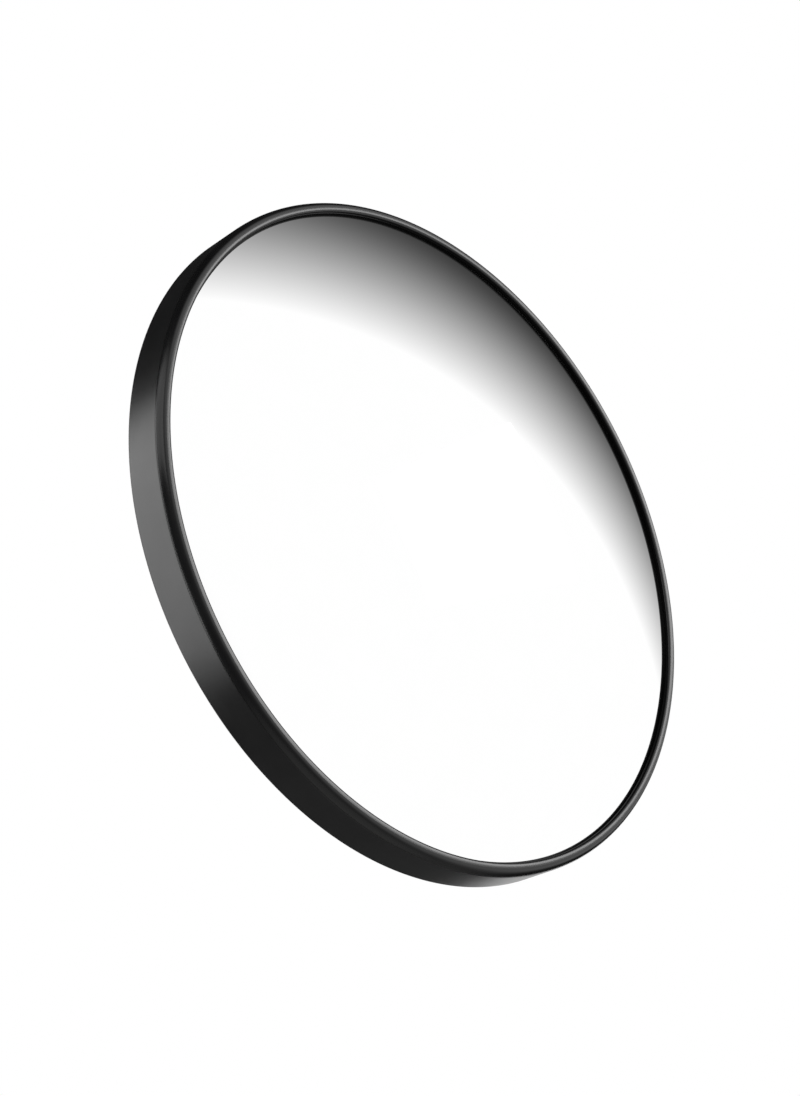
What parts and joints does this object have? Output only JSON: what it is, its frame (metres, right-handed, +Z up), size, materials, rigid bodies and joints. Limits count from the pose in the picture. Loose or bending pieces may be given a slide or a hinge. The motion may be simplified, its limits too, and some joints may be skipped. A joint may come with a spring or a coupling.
{
  "type": "convex security mirror",
  "caption": "Round convex wall mirror with a black beaded rim and deep casing, on a galvanised bracket that pans and tilts and is clamped by lobed hand knobs.",
  "frame": {"origin": "middle of the wall plate's back face, on the wall", "axes": "+Z up, +Y into the wall, so the mirror faces -Y; +X is to the right of someone looking at the mirror"},
  "size_m": [0.4499, 0.1924, 0.45],
  "materials": {
    "rim_plastic": "satin",
    "casing_plastic": "satin",
    "mirror_acrylic": "polished",
    "foam": "matte",
    "zinc_steel": "satin",
    "galvanised_steel": "satin",
    "coated_casting": "satin",
    "nylon": "satin",
    "knob_plastic": "matte",
    "brass": "satin"
  },
  "bodies": {
    "wall_bracket": {"wall_plate": "galvanised_steel", "pan_bolt": "zinc_steel", "pan_washer": "zinc_steel"},
    "pan_clamp": {"pan_knob": "knob_plastic", "pan_knob_insert": "brass"},
    "arm": {"swivel_arm": "coated_casting", "pan_bush_upper": "nylon", "pan_bush_lower": "nylon", "tilt_bush_left": "nylon", "tilt_bush_right": "nylon"},
    "mirror_head": {"rim_ring": "rim_plastic", "mirror_dome": "mirror_acrylic", "foam_gasket": "foam", "casing": "casing_plastic", "stiffener_plate": "zinc_steel", "fork_bolts": "zinc_steel", "fork_washers": "zinc_steel", "fork_nuts": "zinc_steel", "tilt_fork": "galvanised_steel", "tilt_bolt": "zinc_steel", "tilt_washer": "zinc_steel"},
    "tilt_clamp": {"tilt_knob": "knob_plastic", "tilt_knob_insert": "brass"}
  },
  "joints": [
    {"name": "pan", "type": "hinge", "parent": "wall_bracket", "child": "arm", "pos_m": [0, -0.036, 0], "axis": [0, 0, 1], "range_deg": [-30, 30]},
    {"name": "tilt", "type": "hinge", "parent": "arm", "child": "mirror_head", "pos_m": [0, -0.094, 0], "axis": [1, 0, 0], "range_deg": [-30, 30]},
    {"name": "pan_knob_turn", "type": "hinge", "parent": "wall_bracket", "child": "pan_clamp", "pos_m": [0, -0.036, -0.03], "axis": [0, 0, -1], "continuous": true},
    {"name": "tilt_knob_turn", "type": "hinge", "parent": "mirror_head", "child": "tilt_clamp", "pos_m": [0.028, -0.094, 0], "axis": [1, 0, 0], "continuous": true}
  ]
}
